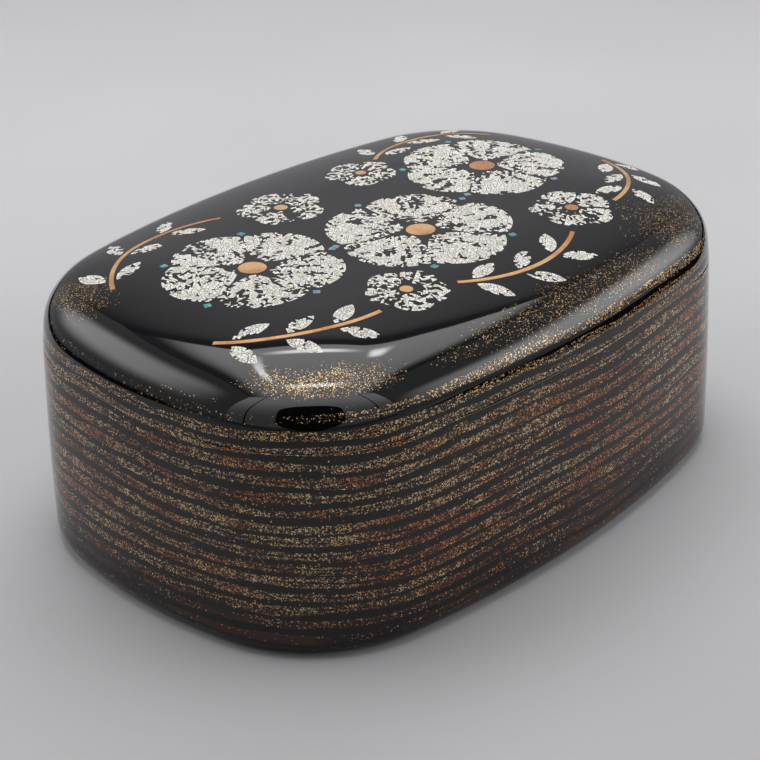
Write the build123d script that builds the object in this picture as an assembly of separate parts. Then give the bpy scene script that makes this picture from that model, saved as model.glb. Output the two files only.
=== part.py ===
from build123d import *
import os
from math import atan, atan2, cos, degrees, hypot, radians, sin, sqrt

os.makedirs("parts", exist_ok=True)

# A lacquered tea ceremony box: a pillow-shaped body, a flush lid that drops over a lip, and a shallow
# tray that hangs on the lip. Millimetres, +Z up, origin at the centre of the flat underside.
# X runs along the length, and the front is at -Y.
#
# Every wall follows one plan of eight tangent arcs. "Inset" is the distance inwards from that plan,
# so a section drawn as (inset, height) and turned about each arc's centre gives bowed boards and
# curved corners that meet without a step.

# ---- plan, measured at the foot, where the box is widest
length = 240.0
width = 172.0
side_bow_radius = 375.0     # plan radius of the front and back
end_bow_radius = 182.0      # plan radius of the two ends
corner_radius = 56.0

# ---- outer profile
seam_height = 70.0          # where the lid meets the body
wall_lean_radius = 1140.0   # the wall rises square from the foot and leans in along this arc
lid_wall_height = 5.5       # the lid's wall, from the seam up to where it turns into the shoulder
shoulder_radius = 16.0
shoulder_turn = 76.0        # degrees from upright at which the shoulder gives way to the crown
crown_inset = 52.0          # inside this line the top is flat
base_edge_radius = 6.0

# ---- body
base_thickness = 7.5
wall_foot_thickness = 7.0   # the inner face is upright, so the wall is thinner at the seam
lip_thickness = 1.8
lip_rise = 7.0              # how far the lip stands above the seam
lip_seat = 12.0             # how far the lip reaches down inside the wall

# ---- lid
lid_clearance = 0.3         # between the lip and the lid
panel_inset = 26.0          # where the lid's rails end and its panel begins
panel_thickness = 8.0
ledge_width = 5.0           # the rails carry the panel on this ledge
ledge_thickness = 3.3
lid_hollow_radius = 4.0     # inner corner between the lid's wall and its ceiling

# ---- tray
tray_clearance = 0.5        # between the tray and the lip
tray_wall_thickness = 2.2
tray_rim_clearance = 0.4    # the rim's outer edge lies this far inside the lip's outer face
tray_rim_thickness = 2.0
tray_depth = 14.0           # from the lip's top down to the tray's underside
tray_base_thickness = 2.5
finger_hole_diameter = 22.0
finger_hole_from_end = 34.0 # from the plan's end to the hole's centre

# ---- inlay on the lid
inlay_thickness = 0.3
petal_gap = 1.0             # lacquer showing between neighbouring petals
heart_share = 0.17          # a flower's heart, as a share of the flower's radius
petals_per_flower = 5
petal_waist_share = 0.62    # a petal's half width midway out, as a share of its greatest half width
petal_end_share = 0.2       # how far its round end stands out, as a share of the same half width
stem_width = 1.5
leaf_length = 13.0
leaf_width = 5.6
leaf_pairs_per_stem = 3
leaf_spread = 40.0          # degrees between a leaf and its stem
first_leaf_share = 0.06     # where the first pair stands, as a share of the stem's length
leaf_step_share = 0.30
fleck_size = 2.2
fleck_clearance = 1.8       # from a flower's radius out to the middle of a fleck

# Flowers as centre x, centre y, radius and turn in degrees.
left_flower = (-57.0, 6.0, 27.0, 18.0)
middle_flower = (1.0, -14.0, 29.0, 50.0)
right_flower = (60.0, 9.0, 27.0, 30.0)
small_flowers = [
    (-15.0, 36.0, 14.0, 0.0),
    (27.0, 38.0, 12.0, 10.0),
    (-37.0, -42.0, 12.5, 20.0),
    (49.0, -40.0, 13.5, 64.0),
]

# Stems as start, a point on the way, and end. Each carries pairs of leaves.
stems = [
    ((-98.0, -20.0), (-80.0, -38.0), (-53.0, -46.0)),
    ((-93.0, 32.0), (-68.0, 51.0), (-34.0, 46.0)),
    ((41.0, 44.0), (66.0, 50.0), (92.0, 32.0)),
    ((99.0, -16.0), (87.0, -36.0), (65.0, -46.0)),
    ((-22.0, -50.0), (6.0, -59.0), (34.0, -52.0)),
]


# ------------------------------------------------------------------ plan
def corner_centre():
    """Centre of the right back corner arc, tangent inside both the side's arc and the end's arc."""
    side_y = width / 2 - side_bow_radius
    end_x = length / 2 - end_bow_radius
    to_side = side_bow_radius - corner_radius
    to_end = end_bow_radius - corner_radius
    span = hypot(end_x, side_y)
    along = (to_side**2 - to_end**2 + span**2) / (2 * span)
    across = sqrt(to_side**2 - along**2)
    ux, uy = end_x / span, -side_y / span
    return ux * along + uy * across, side_y + uy * along - ux * across


def plan_arcs():
    """The eight arcs, anticlockwise: name -> (centre x, centre y, radius, start angle, swept angle)."""
    side_y = width / 2 - side_bow_radius
    end_x = length / 2 - end_bow_radius
    cx, cy = corner_centre()
    side_angle = degrees(atan2(cy - side_y, cx))
    end_angle = degrees(atan2(cy, cx - end_x))
    turn = side_angle - end_angle
    return {
        "right": (end_x, 0, end_bow_radius, -end_angle, 2 * end_angle),
        "back_right": (cx, cy, corner_radius, end_angle, turn),
        "back": (0, side_y, side_bow_radius, side_angle, 180 - 2 * side_angle),
        "back_left": (-cx, cy, corner_radius, 180 - side_angle, turn),
        "left": (-end_x, 0, end_bow_radius, 180 - end_angle, 2 * end_angle),
        "front_left": (-cx, -cy, corner_radius, 180 + end_angle, turn),
        "front": (0, -side_y, side_bow_radius, 180 + side_angle, 180 - 2 * side_angle),
        "front_right": (cx, -cy, corner_radius, 360 - side_angle, turn),
    }


ARCS = plan_arcs()


def plan_face(inset):
    """Flat face bounded by the plan, moved inwards by the inset."""
    edges = []
    for cx, cy, radius, start, sweep in ARCS.values():
        edges.append(CenterArc((cx, cy), radius - inset, start, sweep))
    return make_face(edges)


def plan_plate(inset, bottom, top):
    return Pos(0, 0, bottom) * extrude(plan_face(inset), top - bottom)


# ------------------------------------------------------------------ profile
def point(inset, height):
    """A point of a section: the plan's edge is at x = 0, and the inside of the box is towards -X."""
    return (-inset, 0, height)


def wall_inset(height):
    """How far the leaning outer wall has moved in at this height."""
    return wall_lean_radius - sqrt(wall_lean_radius**2 - height**2)


shoulder_height = seam_height + lid_wall_height


def shoulder_centre():
    lean = atan(shoulder_height / wall_lean_radius)
    return (
        wall_inset(shoulder_height) + shoulder_radius * cos(lean),
        shoulder_height - shoulder_radius * sin(lean),
    )


def shoulder_point(angle):
    """Point of the shoulder (inset, height) at an angle in degrees above level."""
    inset, height = shoulder_centre()
    return (
        inset - shoulder_radius * cos(radians(angle)),
        height + shoulder_radius * sin(radians(angle)),
    )


def crown_arc():
    """Radius and centre height of the crown, which leaves the shoulder without a kink."""
    inset, height = shoulder_point(shoulder_turn)
    radius = (crown_inset - inset) / cos(radians(shoulder_turn))
    return radius, height - radius * sin(radians(shoulder_turn))


def crown_height(inset):
    """Height of the wooden top at an inset between the shoulder's end and the flat middle."""
    radius, centre_height = crown_arc()
    return centre_height + sqrt(radius**2 - (crown_inset - inset) ** 2)


shoulder_end_inset, shoulder_end_height = shoulder_point(shoulder_turn)
top_height = crown_height(crown_inset)
panel_underside = top_height - panel_thickness


def wall_line(low, high):
    middle = (low + high) / 2
    return ThreePointArc(
        point(wall_inset(low), low), point(wall_inset(middle), middle), point(wall_inset(high), high)
    )


def crown_line(inset_from, inset_to, lift=0.0):
    middle = (inset_from + inset_to) / 2
    stops = [inset_from, middle, inset_to]
    return ThreePointArc(*[point(inset, crown_height(inset) + lift) for inset in stops])


# ------------------------------------------------------------------ bent pieces
def bent_piece(section, arc_name):
    """Turn a section about the centre of one plan arc: a bowed board or a curved corner."""
    cx, cy, radius, start, sweep = ARCS[arc_name]
    turned = revolve(Pos(radius, 0, 0) * section, axis=Axis.Z, revolution_arc=sweep)
    return Pos(cx, cy, 0) * Rot(0, 0, start) * turned


def hoop(section):
    """One closed ring: the section carried round the whole plan."""
    pieces = [bent_piece(section, name) for name in ARCS]
    ring = pieces[0]
    for piece in pieces[1:]:
        ring = ring + piece
    return ring


def upright_section(inset_out, inset_in, low, high):
    """Rectangle between two insets and two heights."""
    return make_face(
        Polyline(
            point(inset_out, low), point(inset_out, high), point(inset_in, high), point(inset_in, low),
            close=True,
        )
    )


# ------------------------------------------------------------------ body
def base_board():
    board = plan_plate(0, 0, base_thickness)
    return fillet(board.edges().group_by(Axis.Z)[0], base_edge_radius)


def wall_section():
    outer = wall_line(base_thickness, seam_height)
    return make_face(
        [
            outer,
            Polyline(
                outer @ 1,
                point(wall_foot_thickness, seam_height),
                point(wall_foot_thickness, base_thickness),
                outer @ 0,
            ),
        ]
    )


def lip_section():
    return upright_section(
        wall_foot_thickness, wall_foot_thickness + lip_thickness,
        seam_height - lip_seat, seam_height + lip_rise,
    )


# ------------------------------------------------------------------ lid
def rail_section():
    """Lid wall, shoulder and the ledge that carries the panel, all in one piece of wood."""
    wall = wall_line(seam_height, shoulder_height)
    lean = degrees(atan(shoulder_height / wall_lean_radius))
    shoulder_middle = (lean + shoulder_turn) / 2
    shoulder = ThreePointArc(
        wall @ 1, point(*shoulder_point(shoulder_middle)), point(*shoulder_point(shoulder_turn))
    )
    crown = crown_line(shoulder_end_inset, panel_inset)
    inner_face = wall_foot_thickness - lid_clearance
    ceiling = panel_underside - ledge_thickness
    ledge_end = panel_inset + ledge_width
    down = Polyline(
        crown @ 1,
        point(panel_inset, panel_underside),
        point(ledge_end, panel_underside),
        point(ledge_end, ceiling),
        point(inner_face + lid_hollow_radius, ceiling),
    )
    bend = lid_hollow_radius * (1 - sin(radians(45)))
    hollow_corner = ThreePointArc(
        point(inner_face + lid_hollow_radius, ceiling),
        point(inner_face + bend, ceiling - bend),
        point(inner_face, ceiling - lid_hollow_radius),
    )
    back = Polyline(
        point(inner_face, ceiling - lid_hollow_radius), point(inner_face, seam_height), wall @ 0
    )
    return make_face([wall, shoulder, crown, down, hollow_corner, back])


def lid_panel():
    crown = crown_line(panel_inset, crown_inset)
    margin = make_face(
        [
            crown,
            Polyline(
                crown @ 1,
                point(crown_inset, panel_underside),
                point(panel_inset, panel_underside),
                crown @ 0,
            ),
        ]
    )
    return hoop(margin) + plan_plate(crown_inset, panel_underside, top_height)


# ------------------------------------------------------------------ tray
lip_top = seam_height + lip_rise
tray_inset = wall_foot_thickness + lip_thickness + tray_clearance
tray_underside = lip_top - tray_depth


def tray_base():
    plate = plan_plate(tray_inset, tray_underside, tray_underside + tray_base_thickness)
    hole = Cylinder(finger_hole_diameter / 2, 4 * tray_base_thickness)
    for side in (-1, 1):
        x = side * (length / 2 - finger_hole_from_end)
        plate = plate - Pos(x, 0, tray_underside) * hole
    return plate


def tray_hoop():
    return hoop(
        upright_section(
            tray_inset, tray_inset + tray_wall_thickness,
            tray_underside + tray_base_thickness, lip_top,
        )
    )


def tray_rim():
    return hoop(
        upright_section(
            wall_foot_thickness + tray_rim_clearance, tray_inset + tray_wall_thickness,
            lip_top, lip_top + tray_rim_thickness,
        )
    )


# ------------------------------------------------------------------ inlay
def inlay_sheet():
    """The thin layer over the wooden top that the inlay is cut from."""
    under = crown_line(shoulder_end_inset, crown_inset)
    over = crown_line(shoulder_end_inset, crown_inset, inlay_thickness)
    margin = make_face([under, Line(under @ 1, over @ 1), over, Line(over @ 0, under @ 0)])
    return hoop(margin) + plan_plate(crown_inset, top_height, top_height + inlay_thickness)


SHEET = inlay_sheet()


def cut_inlay(faces):
    """Cut the given flat outlines out of the sheet."""
    tall = [extrude(Pos(0, 0, shoulder_end_height) * face, shoulder_radius) for face in faces]
    return Compound([solid for tool in tall for solid in (SHEET & tool).solids()])


def petal_face(radius):
    """One petal along +X: narrow at the heart, with a round outer end."""
    start = radius * heart_share + petal_gap
    half_angle = radians(180 / petals_per_flower)
    widest = radius * cos(half_angle)
    half_width = widest * sin(half_angle) / cos(half_angle) - petal_gap
    low = (start, -petal_gap)
    high = (start, petal_gap)
    left = (widest, half_width)
    right = (widest, -half_width)
    midway = (start + widest) / 2 - petal_gap
    waist = half_width * petal_waist_share
    return make_face(
        [
            Line(low, high),
            ThreePointArc(high, (midway, waist), left),
            ThreePointArc(left, (radius + half_width * petal_end_share, 0), right),
            ThreePointArc(right, (midway, -waist), low),
        ]
    )


def flower_petals(flower):
    x, y, radius, turn = flower
    face = petal_face(radius)
    step = 360 / petals_per_flower
    return [Pos(x, y, 0) * Rot(0, 0, turn + step * i) * face for i in range(petals_per_flower)]


def flower_heart(flower):
    x, y, radius, _ = flower
    return Pos(x, y, 0) * Circle(radius * heart_share)


def stem_line(stem):
    start, middle, end = stem
    return ThreePointArc(start, middle, end)


def stem_face(stem):
    return trace(stem_line(stem), stem_width)


def leaf_face():
    """A pointed leaf of two arcs along +X, starting at the origin."""
    tip = (leaf_length, 0)
    left = (leaf_length / 2, leaf_width / 2)
    right = (leaf_length / 2, -leaf_width / 2)
    return make_face([ThreePointArc((0, 0), left, tip), ThreePointArc(tip, right, (0, 0))])


def stem_leaves(stem):
    """Leaves in pairs, one each side of the stem, clear of it by the petal gap."""
    line = stem_line(stem)
    face = leaf_face()
    clear = (stem_width / 2 + petal_gap) / sin(radians(leaf_spread))
    placed = []
    for i in range(leaf_pairs_per_stem):
        along = first_leaf_share + leaf_step_share * i
        foot = line @ along
        heading = degrees(atan2((line % along).Y, (line % along).X))
        for side in (-1, 1):
            turn = heading + side * leaf_spread
            placed.append(Pos(foot.X, foot.Y, 0) * Rot(0, 0, turn) * Pos(clear, 0, 0) * face)
    return placed


def flower_flecks(flower):
    """Small lozenges of shell just outside a flower, in line with the gaps between its petals."""
    x, y, radius, turn = flower
    step = 360 / petals_per_flower
    lozenge = Rot(0, 0, 45) * Rectangle(fleck_size, fleck_size)
    flecks = []
    for i in range(petals_per_flower):
        angle = turn + step * (i + 0.5)
        place = Pos(x, y, 0) * Rot(0, 0, angle) * Pos(radius + fleck_clearance, 0, 0)
        flecks.append(place * lozenge)
    return flecks


# ------------------------------------------------------------------ assembly
def build():
    nodes = {"base_board": base_board()}
    wall = wall_section()
    rail = rail_section()
    for name in ARCS:
        is_corner = "_" in name
        nodes[f"corner_post_{name}" if is_corner else f"{name}_wall"] = bent_piece(wall, name)
        nodes[f"lid_corner_{name}" if is_corner else f"lid_{name}_rail"] = bent_piece(rail, name)
    nodes["lip_hoop"] = hoop(lip_section())
    nodes["lid_panel"] = lid_panel()
    nodes["tray_base"] = tray_base()
    nodes["tray_hoop"] = tray_hoop()
    nodes["tray_rim"] = tray_rim()

    flowers = [left_flower, middle_flower, right_flower] + small_flowers
    nodes["left_flower_inlay"] = cut_inlay(flower_petals(left_flower))
    nodes["middle_flower_inlay"] = cut_inlay(flower_petals(middle_flower))
    nodes["right_flower_inlay"] = cut_inlay(flower_petals(right_flower))
    nodes["small_flower_inlays"] = cut_inlay([f for flower in small_flowers for f in flower_petals(flower)])
    nodes["flower_heart_inlays"] = cut_inlay([flower_heart(flower) for flower in flowers])
    nodes["stem_inlays"] = cut_inlay([stem_face(stem) for stem in stems])
    nodes["leaf_inlays"] = cut_inlay([leaf for stem in stems for leaf in stem_leaves(stem)])
    nodes["shell_fleck_inlays"] = cut_inlay([f for flower in flowers[:3] for f in flower_flecks(flower)])
    return nodes


if __name__ == "__main__":
    for node, shape in build().items():
        shape.label = node
        export_step(shape, f"parts/{node}.step")
    print("top of the wood", round(top_height, 2), "crown radius", round(crown_arc()[0], 1))
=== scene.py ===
# %% [markdown]
# # A lacquered tea ceremony box
#
# The box is wood under many coats of black lacquer, polished until it mirrors the room. Gold powder lies
# in level bands round its wall, and eggshell, gold and shell are let into the top of its lid. In this
# lesson Blender makes the lacquer, because that is all that the eye sees: the boards, the lip and the
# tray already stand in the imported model, at their real size. So the first cell loads that model as a
# fixed frame, and nothing in it is moved or resized.
# %% Load the frame
from math import asin, atan, atan2, cos, hypot, pi, radians, sin, sqrt
from random import Random

import bmesh
import bpy
from mathutils import Matrix, Vector, noise
from mathutils.bvhtree import BVHTree


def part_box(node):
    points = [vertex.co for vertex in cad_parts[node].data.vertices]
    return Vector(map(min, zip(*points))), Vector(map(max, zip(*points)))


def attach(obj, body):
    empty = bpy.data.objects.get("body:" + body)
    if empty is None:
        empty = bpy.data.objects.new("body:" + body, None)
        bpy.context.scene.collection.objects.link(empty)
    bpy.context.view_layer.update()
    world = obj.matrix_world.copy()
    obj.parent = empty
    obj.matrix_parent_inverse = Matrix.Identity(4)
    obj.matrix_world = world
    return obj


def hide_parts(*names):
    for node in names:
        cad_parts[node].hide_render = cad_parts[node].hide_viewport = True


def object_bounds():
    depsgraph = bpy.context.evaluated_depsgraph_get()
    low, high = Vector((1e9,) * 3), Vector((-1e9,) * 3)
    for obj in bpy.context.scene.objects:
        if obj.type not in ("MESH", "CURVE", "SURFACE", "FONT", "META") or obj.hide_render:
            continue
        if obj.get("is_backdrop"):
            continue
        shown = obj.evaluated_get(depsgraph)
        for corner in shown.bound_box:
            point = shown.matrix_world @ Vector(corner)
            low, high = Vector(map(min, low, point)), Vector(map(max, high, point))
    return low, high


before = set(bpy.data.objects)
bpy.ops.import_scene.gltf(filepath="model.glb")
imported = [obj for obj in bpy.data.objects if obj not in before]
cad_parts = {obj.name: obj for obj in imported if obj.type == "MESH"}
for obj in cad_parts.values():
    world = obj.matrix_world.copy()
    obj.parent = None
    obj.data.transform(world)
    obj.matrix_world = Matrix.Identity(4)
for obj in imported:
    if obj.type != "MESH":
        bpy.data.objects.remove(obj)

cad_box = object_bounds()

# %% [markdown]
# ## The plan
#
# Seen from above, the box is eight arcs that run into each other without a kink: two long sides, two
# ends and four corners. The frame gives the length, the width and the seam's height. The radii of the
# arcs are the box maker's own choice, so they are written here as they are on the drawing.
# %% Sizes
mm = 0.001

foot_low, foot_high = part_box("base_board")
length = foot_high.x - foot_low.x
width = foot_high.y - foot_low.y
side_bow_radius = 375 * mm
end_bow_radius = 182 * mm
corner_radius = 56 * mm

seam_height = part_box("front_wall")[1].z
lid_wall_height = 5.5 * mm
wall_lean_radius = 1140 * mm
shoulder_radius = 16 * mm
shoulder_turn = radians(76)
crown_inset = 52 * mm
base_edge_radius = 6 * mm
print(f"plan {length / mm:.1f} by {width / mm:.1f} mm, seam at {seam_height / mm:.1f} mm")

# %% Eight arcs of the plan
side_y = width / 2 - side_bow_radius
end_x = length / 2 - end_bow_radius
to_side = side_bow_radius - corner_radius
to_end = end_bow_radius - corner_radius
span = hypot(end_x, side_y)
along = (to_side**2 - to_end**2 + span**2) / (2 * span)
across = sqrt(to_side**2 - along**2)
corner_x = (end_x * along - side_y * across) / span
corner_y = side_y - (side_y * along + end_x * across) / span

side_angle = atan2(corner_y - side_y, corner_x)
end_angle = atan2(corner_y, corner_x - end_x)
turn = side_angle - end_angle

# Centre x, centre y, radius, start and sweep of each arc, anticlockwise from the right end.
plan = [
    (end_x, 0, end_bow_radius, -end_angle, 2 * end_angle),
    (corner_x, corner_y, corner_radius, end_angle, turn),
    (0, side_y, side_bow_radius, side_angle, pi - 2 * side_angle),
    (-corner_x, corner_y, corner_radius, pi - side_angle, turn),
    (-end_x, 0, end_bow_radius, pi - end_angle, 2 * end_angle),
    (-corner_x, -corner_y, corner_radius, pi + end_angle, turn),
    (0, -side_y, side_bow_radius, pi + side_angle, pi - 2 * side_angle),
    (corner_x, -corner_y, corner_radius, 2 * pi - side_angle, turn),
]
print(f"corner centres at {corner_x / mm:.1f}, {corner_y / mm:.1f} mm")

# %% [markdown]
# ## Tools for the materials
#
# A finish is a small program of nodes. A few helpers keep such a program short: they add a node and wire
# its inputs, do arithmetic, carry one range of values to another, and make noise in a space that may be
# stretched, because brush strokes are long and level. What two finishes share is a node group.
# %% Wire and add nodes
def wire(tree, value, socket):
    """Link a socket to another one, or set it when the value is a plain number or colour."""
    if isinstance(value, bpy.types.NodeSocket):
        tree.links.new(value, socket)
    else:
        socket.default_value = value


def settle(tree, node, values):
    """Link or set several sockets of a node, given as name: value."""
    for name, value in values.items():
        wire(tree, value, node.inputs[name])


def add(tree, kind, inputs=None, **settings):
    """A new node, with its settings and its inputs."""
    made = tree.nodes.new(kind)
    for name, value in settings.items():
        setattr(made, name, value)
    settle(tree, made, inputs or {})
    return made


print("ready: wire, settle and add")


# %% Arithmetic, ranges and noise
def calc(tree, operation, *values):
    """One step of arithmetic."""
    return add(tree, "ShaderNodeMath", dict(enumerate(values)), operation=operation).outputs[0]


def ease(tree, value, low, high, to_low=0.0, to_high=1.0):
    """Carry a value smoothly from one range to another, and hold it at the ends."""
    limits = {"From Min": low, "From Max": high, "To Min": to_low, "To Max": to_high}
    made = add(tree, "ShaderNodeMapRange", {"Value": value, **limits}, interpolation_type="SMOOTHSTEP")
    return made.outputs[0]


def clouds(tree, vector, per_metre, detail=2.0, offset=(0, 0, 0)):
    """Noise with so many waves per metre along X, Y and Z."""
    moved = add(tree, "ShaderNodeMapping", {"Vector": vector, "Location": offset, "Scale": per_metre})
    waves = {"Vector": moved.outputs[0], "Scale": 1.0, "Detail": detail}
    return add(tree, "ShaderNodeTexNoise", waves).outputs[0]


def height_of(tree, vector):
    """The height of a point above the table."""
    return add(tree, "ShaderNodeSeparateXYZ", {"Vector": vector}).outputs["Z"]


print("ready: calc, ease, clouds and height_of")


# %% New group
def new_group(name, inputs, outputs):
    """An empty node group, with its inputs as name: (kind, value) and its outputs as name: kind."""
    group = bpy.data.node_groups.new(name, "ShaderNodeTree")
    for label, (kind, value) in inputs.items():
        socket = group.interface.new_socket(label, in_out="INPUT", socket_type=f"NodeSocket{kind}")
        if value is not None:
            socket.default_value = value
    for label, kind in outputs.items():
        group.interface.new_socket(label, in_out="OUTPUT", socket_type=f"NodeSocket{kind}")
    return group, group.nodes.new("NodeGroupInput").outputs, group.nodes.new("NodeGroupOutput").inputs


print("ready: new_group")

# %% [markdown]
# ## Gold powder
#
# Gold powder is sprinkled on wet lacquer through a tube, so each grain falls alone. Noise would give
# smooth blots. A Voronoi texture gives cells of one size, each with its own random colour, and that is
# what is wanted: a cell holds a grain or not by one random number, and a second one picks its gold. The
# cells are bent a little first, so that no grain is a neat disc.
# %% Group: gold flecks
flecks, given, result = new_group(
    "gold flecks",
    {
        "Vector": ("Vector", None), "Per Metre": ("Float", 1800.0),
        "Density": ("Float", 0.5), "Grain": ("Float", 0.55),
    },
    {"Mask": "Float", "Tone": "Float"},
)
bend_scale = calc(flecks, "MULTIPLY", given["Per Metre"], 1.4)
bend = add(flecks, "ShaderNodeTexNoise", {"Vector": given["Vector"], "Scale": bend_scale, "Detail": 1.0})
centred = add(
    flecks, "ShaderNodeVectorMath", {0: bend.outputs["Color"], 1: (0.5, 0.5, 0.5)}, operation="SUBTRACT"
)
reach = calc(flecks, "DIVIDE", 1.5, given["Per Metre"])
shift = add(flecks, "ShaderNodeVectorMath", {0: centred.outputs[0], "Scale": reach}, operation="SCALE")
bent = add(flecks, "ShaderNodeVectorMath", {0: given["Vector"], 1: shift.outputs[0]}, operation="ADD")
cells = add(flecks, "ShaderNodeTexVoronoi", {"Vector": bent.outputs[0], "Scale": given["Per Metre"]})
lots = add(flecks, "ShaderNodeSeparateColor", {"Color": cells.outputs["Color"]})
inner = calc(flecks, "SUBTRACT", given["Grain"], 0.12)
inside = ease(flecks, cells.outputs["Distance"], given["Grain"], inner)
drawn = calc(flecks, "LESS_THAN", lots.outputs[1], given["Density"])
wire(flecks, calc(flecks, "MULTIPLY", inside, drawn), result["Mask"])
wire(flecks, lots.outputs[0], result["Tone"])
print("group:", flecks.name)


# %% Mix and ramp colours
def mix_colour(tree, share, first, second):
    """The first colour where the share is 0, and the second where it is 1."""
    made = add(tree, "ShaderNodeMix", data_type="RGBA")
    wire(tree, share, made.inputs["Factor"])
    wire(tree, first, [s for s in made.inputs if s.name == "A" and s.type == "RGBA"][0])
    wire(tree, second, [s for s in made.inputs if s.name == "B" and s.type == "RGBA"][0])
    return [s for s in made.outputs if s.type == "RGBA"][0]


def ramp(tree, value, stops):
    """A colour ramp from a list of positions and colours."""
    made = add(tree, "ShaderNodeValToRGB", {"Fac": value})
    made.color_ramp.elements[0].position = stops[0][0]
    made.color_ramp.elements[0].color = (*stops[0][1], 1)
    made.color_ramp.elements[1].position = stops[-1][0]
    made.color_ramp.elements[1].color = (*stops[-1][1], 1)
    for position, colour in stops[1:-1]:
        made.color_ramp.elements.new(position).color = (*colour, 1)
    return made.outputs["Color"]


print("ready: mix_colour and ramp")

# %% Group: colours of the gold
# Warmth runs from 0, nearly silver, over 0.5, yellow gold, to 1, a deep red brown.
gold_colours, given, result = new_group(
    "gold colours", {"Tone": ("Float", 0.5), "Warmth": ("Float", 0.0)}, {"Color": "Color"}
)
silver = ramp(
    gold_colours, given["Tone"],
    [
        (0.0, (0.09, 0.05, 0.025)), (0.3, (0.35, 0.21, 0.10)),
        (0.55, (0.70, 0.53, 0.29)), (1.0, (0.98, 0.89, 0.64)),
    ],
)
yellow = ramp(
    gold_colours, given["Tone"],
    [
        (0.0, (0.09, 0.038, 0.014)), (0.3, (0.40, 0.20, 0.07)),
        (0.55, (0.78, 0.49, 0.19)), (1.0, (1.0, 0.80, 0.44)),
    ],
)
red = ramp(
    gold_colours, given["Tone"],
    [
        (0.0, (0.08, 0.012, 0.006)), (0.3, (0.28, 0.055, 0.016)),
        (0.7, (0.60, 0.19, 0.045)), (1.0, (0.90, 0.52, 0.20)),
    ],
)
to_yellow = ease(gold_colours, given["Warmth"], 0.0, 0.5)
to_red = ease(gold_colours, given["Warmth"], 0.5, 1.0)
cool = mix_colour(gold_colours, to_yellow, silver, yellow)
wire(gold_colours, mix_colour(gold_colours, to_red, cool, red), result["Color"])
print("group:", gold_colours.name)

# %% [markdown]
# ## Bands round the wall
#
# The bands are level, about 4.9 mm apart, and no two are alike: their edges wander, some split in two
# and join again. Height divided by the pitch gives a saw that runs from 0 to 1 over each band. Before
# that division the height is moved up and down by noise that is stretched along the wall, and the
# share of each step that holds gold is moved by noise too.
# %% Group: brushed bands
bands, given, result = new_group(
    "brushed bands",
    {"Vector": ("Vector", None), "Pitch": ("Float", 4.9 * mm)},
    {"Cover": "Float", "Warmth": "Float"},
)
height = height_of(bands, given["Vector"])
slow = calc(bands, "MULTIPLY_ADD", clouds(bands, given["Vector"], (10, 10, 14)), 9.0 * mm, height)
wander = calc(bands, "MULTIPLY_ADD", clouds(bands, given["Vector"], (34, 34, 240), 4.0), 2.6 * mm, slow)
steps = calc(bands, "DIVIDE", wander, given["Pitch"])
saw = calc(bands, "FRACT", steps)
off_middle = calc(bands, "MULTIPLY", calc(bands, "ABSOLUTE", calc(bands, "SUBTRACT", saw, 0.5)), 2.0)
share = ease(bands, clouds(bands, given["Vector"], (26, 26, 230), 3.0, (3.1, 0, 0)), 0.28, 0.70, 0.40, 0.90)
low = calc(bands, "SUBTRACT", share, 0.10)
gold = ease(bands, off_middle, share, low)

thirds = calc(bands, "FRACT", calc(bands, "MULTIPLY", steps, 3.0))
thread = ease(bands, calc(bands, "ABSOLUTE", calc(bands, "SUBTRACT", thirds, 0.5)), 0.08, 0.24, 0.9, 0.0)
where_split = ease(bands, clouds(bands, given["Vector"], (22, 22, 120), 2.0, (0, 7.7, 0)), 0.47, 0.55)
unsplit = calc(bands, "SUBTRACT", 1.0, calc(bands, "MULTIPLY", thread, where_split))
wire(bands, calc(bands, "MULTIPLY", gold, unsplit), result["Cover"])
patch = clouds(bands, given["Vector"], (42, 42, 150), 2.5, (0, 0, 5.5))
drift = clouds(bands, given["Vector"], (9, 9, 12), 1.0, (6.6, 0, 0))
drifting_patch = calc(bands, "MULTIPLY_ADD", drift, 0.25, patch)
wire(bands, ease(bands, drifting_patch, 0.46, 0.72, 0.22, 1.0), result["Warmth"])
print("group:", bands.name)

# %% Group: soft cloud of powder
# It tells how near a point is to the middle of a sprinkled cloud, with a torn edge.
sprinkle, given, result = new_group(
    "sprinkled cloud",
    {
        "Vector": ("Vector", None), "Middle": ("Vector", (0, 0, 0)),
        "Reach": ("Vector", (30 * mm, 30 * mm, 12 * mm)),
    },
    {"Cover": "Float"},
)
from_middle = add(
    sprinkle, "ShaderNodeVectorMath", {0: given["Vector"], 1: given["Middle"]}, operation="SUBTRACT"
)
scaled = add(
    sprinkle, "ShaderNodeVectorMath", {0: from_middle.outputs[0], 1: given["Reach"]}, operation="DIVIDE"
)
distance = add(sprinkle, "ShaderNodeVectorMath", {0: scaled.outputs[0]}, operation="LENGTH").outputs["Value"]
torn = calc(sprinkle, "MULTIPLY_ADD", clouds(sprinkle, given["Vector"], (90, 90, 160), 3.0), 0.9, distance)
wire(sprinkle, ease(sprinkle, torn, 1.45, 0.75), result["Cover"])
print("group:", sprinkle.name)


# %% [markdown]
# ## Lacquer with gold in it
#
# Real lacquer is a stack of thin coats: a dark ground, gold powder where the design wants it, and clear
# coats over both, rubbed down until they are a mirror. A Principled shader can be read in the same
# order. Its base colour is the ground with the grains mixed in where their mask is 1, the grains are a
# little metallic, and its coat is the clear lacquer. The ground has no gloss of its own, because the
# light is reflected at the top of the coat.
# %% New finish
def new_finish(name):
    """An empty material: its nodes, and its one Principled shader."""
    material = bpy.data.materials.new(name)
    material.use_nodes = True
    tree = material.node_tree
    shader = tree.nodes["Principled BSDF"]
    place = add(tree, "ShaderNodeTexCoord").outputs["Object"]
    return material, tree, shader, place


print("ready: new_finish")

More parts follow.
